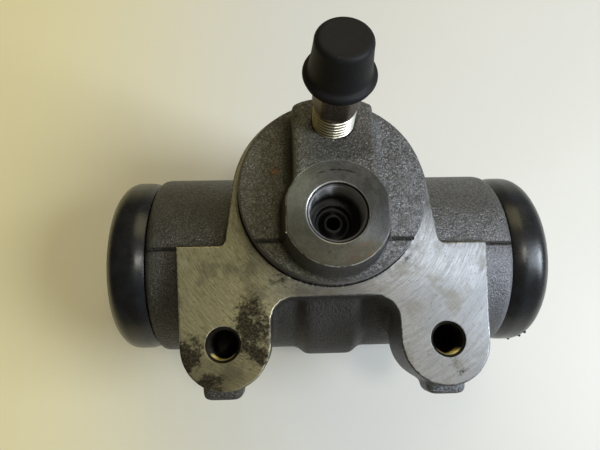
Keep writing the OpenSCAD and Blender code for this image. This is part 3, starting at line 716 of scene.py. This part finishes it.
def tapped_hole(name, x, y, low, high, crest_r, root_r, pitch, material):
    """Thread in a hole: a closed sleeve whose inside is the thread."""
    columns = 72
    rows_per_turn = 12
    fade = 0.5
    flat = 0.15
    sleeve = 0.1
    rows = int((high - low) / pitch * rows_per_turn)
    place = upright_point(x, y)
    points = []
    for row in range(rows + 1):
        height = low + (high - low) * row / rows
        depth = min(1.0, (height - low) / fade, (high - height) / fade)
        flare = max(0.0, 1 - (high - height) / fade)
        for column in range(columns):
            groove = flank(height / pitch - column / columns, flat)
            radius = crest_r + (root_r - crest_r) * max(groove * depth, flare)
            points.append(place(radius, TURN * column / columns, height))
    for height in (high, low):
        for column in range(columns):
            points.append(place(root_r + sleeve, TURN * column / columns, height))
    faces = ring_faces(rows + 3, columns, True)
    thing = mesh_object(name, points, faces, material, "housing", 40)


def plain_ring(radius):
    """Radius of a round ring, whatever the share of the turn."""
    return lambda turned: radius


def screw_thread_ring(height):
    """Radius of the bleed screw's thread at one height, for a share of the turn."""
    crest_r = 5.0
    root_r = 4.3
    flat = 0.12
    run_in = 0.8
    run_out = 0.5
    depth = min(1.0, (height - THREAD_LOW) / run_in, (HEX_LOW - height) / run_out)
    return lambda turned: root_r + (crest_r - root_r) * flank(height - turned, flat) * depth


def hexagon_ring(chamfer):
    """Radius of the hexagon for a share of the turn, with its corners turned off by the chamfer."""
    flats = 9.5
    corner_round = 0.12
    most = flats / math.sqrt(3) - corner_round - chamfer

    def radius(turned):
        from_flat = (turned * 6) % 1.0 - 0.5
        return min(flats / 2 / math.cos(from_flat * math.pi / 3), most)
    return radius


def bleed_screw(material):
    """Bleed screw with its real thread, hexagon, nipple and drilled end."""
    columns = 96
    hex_turn = math.radians(-8)
    rows_per_turn = 14
    drill_r = 1.2
    tip_r = 3.6
    edge = 0.35
    rings = [(plain_ring(radius), height)
             for radius, height in ((drill_r, -17.7), (tip_r, -15.3), (tip_r, THREAD_LOW))]
    thread_length = HEX_LOW - THREAD_LOW
    thread_rows = int(thread_length * rows_per_turn)
    for row in range(thread_rows + 1):
        height = THREAD_LOW + thread_length * row / thread_rows
        rings.append((screw_thread_ring(height), height))
    rings.append((plain_ring(4.4), HEX_LOW))
    for chamfer, height in ((0.28, HEX_LOW), (0.0, HEX_LOW + edge), (0.0, HEX_HIGH - edge), (0.32, HEX_HIGH)):
        rings.append((hexagon_ring(chamfer), height))
    for radius, height in ((4.45, HEX_HIGH), (3.9, 13.5), (3.4, 14.1), (3.2, 14.6), (3.2, 19.3), (3.45, 19.5),
                           (3.75, 19.8), (3.75, 21.4), (3.5, 21.9), (2.7, 22.9), (2.4, 23.0), (1.3, 23.0),
                           (drill_r, 22.9), (drill_r, 12.0)):
        rings.append((plain_ring(radius), height))
    points = []
    for ring, height in rings:
        for column in range(columns):
            turned = column / columns
            points.append(bleeder_point(ring(turned), TURN * turned + hex_turn, height))
    faces = ring_faces(len(rings), columns, False)
    thing = mesh_object("bleed_screw_threaded", points, faces, material, "bleed_screw", 32)
    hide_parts("bleed_screw")


def bleed_cap(material):
    """Rubber cap: tapered top with a soft edge over a wider skirt with a fine groove."""
    columns = 128
    profile = [(3.8, 14.2), (6.5, 14.2)]
    profile += arc((6.7, 15.0), 0.8, -80, -10, 6)
    profile += [(7.55, 15.08), (7.44, 15.18), (7.62, 15.3)]
    profile += arc((6.95, 15.75), 0.85, -12, 62, 8)
    profile += [(7.0, 16.72), (6.78, 16.9), (6.62, 17.2)]
    profile += [(6.52, 17.8), (6.2, 20.5), (5.92, 23.2)]
    profile += arc((4.62, 24.1), 1.25, 4, 84, 8)
    profile += [(4.3, 25.34), (3.6, 25.3), (1.5, 25.28), (0.05, 25.28)]
    profile += [(0.05, 23.1), (3.7, 23.1), (3.8, 23.0)]
    points, faces = lathe(profile, columns, bleeder_point)
    thing = mesh_object("bleed_cap_rubber", points, faces, material, "bleed_cap", 50)
    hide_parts("bleed_cap")


def dust_boot(side, word, material):
    """Boot in two pieces that meet at the crown: the shell, and the fold that goes with the piston."""
    columns = 160
    wall = 2.0
    roll = (20.3, 54.2)
    roll_r = 4.5
    fold = (13.85, 54.2)
    fold_r = 1.95
    seam_angle = 62
    seam_r = 4.58
    nubs = ((-70, 56.3), (-78, 56.2), (-90, 55.2))
    place = barrel_point(side)
    outer = [(22.65, 48.1), (23.65, 48.1), (23.9, 48.2), (24.02, 48.45), (24.3, 49.3), (24.56, 50.15),
             (24.74, 50.95), (24.8, 51.8), (24.8, 53.6)]
    outer += arc(roll, roll_r, 0, seam_angle - 2, 10)
    outer += arc(roll, seam_r, seam_angle, seam_angle, 0)
    outer += arc(roll, roll_r, seam_angle + 2, 90, 6)
    outer += arc(roll, roll_r - wall, 90, 0, 10)
    outer += [(22.8, 52.6), (22.65, 52.6), (22.65, 51.1), (21.8, 51.1), (21.8, 49.4), (22.65, 49.4)]
    points, faces = lathe(outer, columns, place)
    if side > 0:
        for angle, along in nubs:
            add_nub(points, faces, place, math.radians(angle), along, roll, roll_r)
    shell = mesh_object("boot_" + word, points, faces, material, None, 50)
    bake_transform(shell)
    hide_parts("dust_boot_" + word)
    inner = arc(roll, roll_r, 90, 180, 14)
    inner += arc(fold, fold_r, 0, -180, 14)
    inner += [(11.9, 55.9), (11.6, 56.2), (10.2, 56.2), (9.9, 55.9)]
    inner += arc(fold, fold_r + wall, -180, 0, 18)
    inner += arc(roll, roll_r - wall, 180, 90, 10)
    points, faces = lathe(inner, columns, place)
    web = mesh_object("boot_fold_" + word, points, faces, material, word + "_piston", 50)


def add_nub(points, faces, place, angle, along, roll, roll_r):
    """Adds a small moulded nub on the outer roll, as a closed eight-sided peg."""
    sides = 8
    rings = ((4.3, 0.5), (4.75, 0.42), (4.95, 0.22))
    base = math.asin((along - roll[1]) / roll_r)
    first = len(points)
    for reach, width in rings:
        for corner in range(sides):
            swing = TURN * corner / sides
            lean = base + width * math.cos(swing) / reach
            radius = roll[0] + reach * math.cos(lean)
            swung = angle + width * math.sin(swing) / radius
            points.append(place(radius, swung, roll[1] + reach * math.sin(lean)))
    for face in ring_faces(len(rings), sides, False):
        faces.append(tuple(first + index for index in face))


def parting_ridge(name, start, end, normal, material):
    """A thin uneven flash line from start to end, standing out along the normal."""
    half = 0.34
    crest_half = 0.08
    sunk = -0.4
    corners = 6
    steps = 24
    spread = Vector((0.0, 1.0, 0.0))
    lift = Vector(normal)
    points = []
    for index in range(steps + 1):
        centre = Vector(start).lerp(Vector(end), index / steps)
        height = 0.26 + 0.07 * math.sin(5.3 * index) + 0.05 * math.sin(2.1 * index + 1.0)
        shift = 0.09 * math.sin(1.7 * index + 0.4)
        left, right = shift - half, shift + half
        crest_left, crest_right = shift * 0.5 - crest_half, shift * 0.5 + crest_half
        for offset, rise in ((left, sunk), (left, 0.0), (crest_left, height),
                             (crest_right, height), (right, 0.0), (right, sunk)):
            points.append(centre + spread * offset + lift * rise)
    faces = ring_faces(steps + 1, corners, False)
    thing = mesh_object(name, points, faces, material, "housing", 25)


def flash_lines(side, word, material):
    """The mould's parting line on one side: on the barrel, on the spigot and up the port boss."""
    barrel_top = AXIS_Z + BARREL_R
    for part, start, end, lean, rise in (
        ("barrel", (38.6, barrel_top), (46.9, barrel_top), 0.0, 1.0),
        ("spigot", (19.2, SPIGOT_HEIGHT), (12.9, SPIGOT_HEIGHT), 0.0, 1.0),
        ("port", (12.9, 5.4), (11.35, 14.7), 1.0, 0.1),
    ):
        ends = [(side * x, AXIS_Y, z) for x, z in (start, end)]
        parting_ridge("flash_" + part + "_" + word, ends[0], ends[1], (side * lean, 0.0, rise), material)


def return_spring(material):
    """The spring cut in two halves at its middle."""
    same_point = 2e-6
    on_plane = 5e-6
    short_edge = 2e-5
    for side, word in SIDES:
        work = bmesh.new()
        work.from_mesh(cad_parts["return_spring"].data)
        bmesh.ops.remove_doubles(work, verts=work.verts, dist=same_point)
        everything = work.verts[:] + work.edges[:] + work.faces[:]
        bmesh.ops.bisect_plane(work, geom=everything, dist=on_plane, plane_co=(0.0, 0.0, 0.0),
                               plane_no=(-side, 0.0, 0.0), clear_outer=True)
        bmesh.ops.remove_doubles(work, verts=work.verts, dist=short_edge)
        bmesh.ops.holes_fill(work, edges=[edge for edge in work.edges if edge.is_boundary])
        bmesh.ops.triangulate(work, faces=work.faces)
        bmesh.ops.dissolve_degenerate(work, edges=work.edges, dist=same_point)
        bmesh.ops.recalc_face_normals(work, faces=work.faces)
        data = bpy.data.meshes.new("spring_" + word)
        work.to_mesh(data)
        work.free()
        half = place_mesh("spring_" + word, data, material, None, 40)
        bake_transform(half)
        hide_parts("return_spring")


def paint_node(name, material):
    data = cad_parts[name].data
    data.materials.clear()
    data.materials.append(material)


def build_object():
    iron = cast_iron()
    boot_rubber = rubber("boot_rubber", 0.25, (0.0060, 0.0060, 0.0064), 0.12, 0.5)
    cap_rubber = rubber("cap_rubber", 0.55, (0.0050, 0.0048, 0.0047), 0.3, 0.22)
    casting(iron)
    tapped_hole("port_thread", 0.0, PORT_Y, PORT_FLOOR + 0.1, PORT_TOP - 0.45, PORT_R, 6.85, 1.5, iron)
    for side, word in SIDES:
        hole_x = side * HOLE_X
        tapped_hole("mount_thread_" + word, hole_x, HOLE_Y, -12.9, -0.35, HOLE_R, 3.85, 1.25, iron)
        dust_boot(side, word, boot_rubber)
        flash_lines(side, word, iron)
    bleed_screw(plated_steel())
    bleed_cap(cap_rubber)
    alloy = turned_metal("turned_alloy", (0.40, 0.40, 0.41), (0.66, 0.66, 0.67), 0.28, 3.0)
    steel = turned_metal("spring_wire", (0.30, 0.30, 0.31), (0.52, 0.52, 0.54), 0.30, 1.6)
    seal = rubber("seal_rubber", 0.40, (0.013, 0.013, 0.013), 0.2)
    for _, word in SIDES:
        paint_node("piston_" + word, alloy)
        paint_node("cup_seal_" + word, seal)
        paint_node("cup_expander_" + word, steel)
    return_spring(steel)


def floor():
    """Plain pale table top, with painted warm light on the left."""
    half = 900.0
    glow = 0.06
    material, shader, n = new_material("pale_table")
    where, x = n.place()[:2]
    mottle = n.noise(where, 0.012, 3.0, 0.5)
    pale = n.coats(
        n.mix(mottle, rgb(0.69, 0.67, 0.61), rgb(0.75, 0.73, 0.67)),
        # Painted light: the table turns warm yellow toward the left
        (n.step(x, 10.0, -130.0), 0.85, rgb(0.92, 0.80, 0.41)),
    )
    n.put(shader.inputs["Base Color"], pale)
    shader.inputs["Roughness"].default_value = 0.55
    seen = n.add("ShaderNodeLightPath")
    direct = n.highest(seen.outputs["Is Camera Ray"], seen.outputs["Is Glossy Ray"],
                       seen.outputs["Is Transmission Ray"])
    n.put(shader.inputs["Emission Color"], pale)
    n.put(shader.inputs["Emission Strength"], n.times(direct, glow))
    corners = [(-half, -half, FLOOR_Z), (half, -half, FLOOR_Z), (half, half, FLOOR_Z), (-half, half, FLOOR_Z)]
    thing = mesh_object("table_top", corners, [(0, 1, 2, 3)], material)


def lamp(name, place, target, size, power, color):
    """An area lamp at a place, turned to its target. Lengths are in metres, power in watts."""
    data = bpy.data.lights.new(name, "AREA")
    data.shape = "RECTANGLE"
    data.size, data.size_y = size
    data.energy = power
    data.color = color
    thing = bpy.data.objects.new(name, data)
    thing.location = Vector(place)
    thing.rotation_euler = (Vector(target) - Vector(place)).to_track_quat("-Z", "Y").to_euler()
    bpy.context.scene.collection.objects.link(thing)


def studio():
    """Two warm ceiling lamps, a cool window on the right and a dim room that is brighter on that side."""
    centre = (0.0, -0.012, -0.02)
    lamp("far_ceiling", (0.10, 0.50, 0.50), centre, (0.40, 0.40), 1.0, (1.0, 0.87, 0.50))
    lamp("near_ceiling", (0.16, -0.05, 0.69), centre, (0.12, 0.12), 1.0, (1.0, 0.96, 0.84))
    lamp("window", (0.395, -0.09, 0.345), centre, (0.19, 0.26), 2.7, (0.80, 0.89, 1.0))
    world = bpy.data.worlds.new("room")
    bpy.context.scene.world = world
    world.use_nodes = True
    n = Nodes(world.node_tree)
    direction = n.add("ShaderNodeTexCoord").outputs["Generated"]
    parts = n.add("ShaderNodeSeparateXYZ", {0: direction})
    walls = n.mix(n.step(parts.outputs[0], -0.2, 0.6), rgb(0.10, 0.09, 0.06), rgb(0.34, 0.37, 0.42))
    ceiling = n.mix(0.4, walls, rgb(0.06, 0.06, 0.055))
    background = world.node_tree.nodes["Background"]
    n.put(background.inputs["Color"], n.mix(n.step(parts.outputs[2], -0.1, 0.8), walls, ceiling))
    background.inputs["Strength"].default_value = 1.0


def camera():
    """Camera at the photo's place and angle."""
    right = (0.99934, -0.02427, 0.02689)
    up = (0.01762, 0.97433, 0.22442)
    back = (-0.03164, -0.22380, 0.97412)
    at = Vector((-11.699, -34.028, 113.014))
    data = bpy.data.cameras.new("camera")
    data.lens = 27.63
    data.sensor_width = 36.0
    data.clip_start = 0.005
    data.clip_end = 10.0
    thing = bpy.data.objects.new("camera", data)
    place = Matrix((right, up, back)).transposed().to_4x4()
    place.translation = at * MM
    thing.matrix_world = place
    bpy.context.scene.collection.objects.link(thing)
    bpy.context.scene.camera = thing


build_object()
floor()
studio()
camera()
bpy.context.scene.view_settings.view_transform = "Standard"
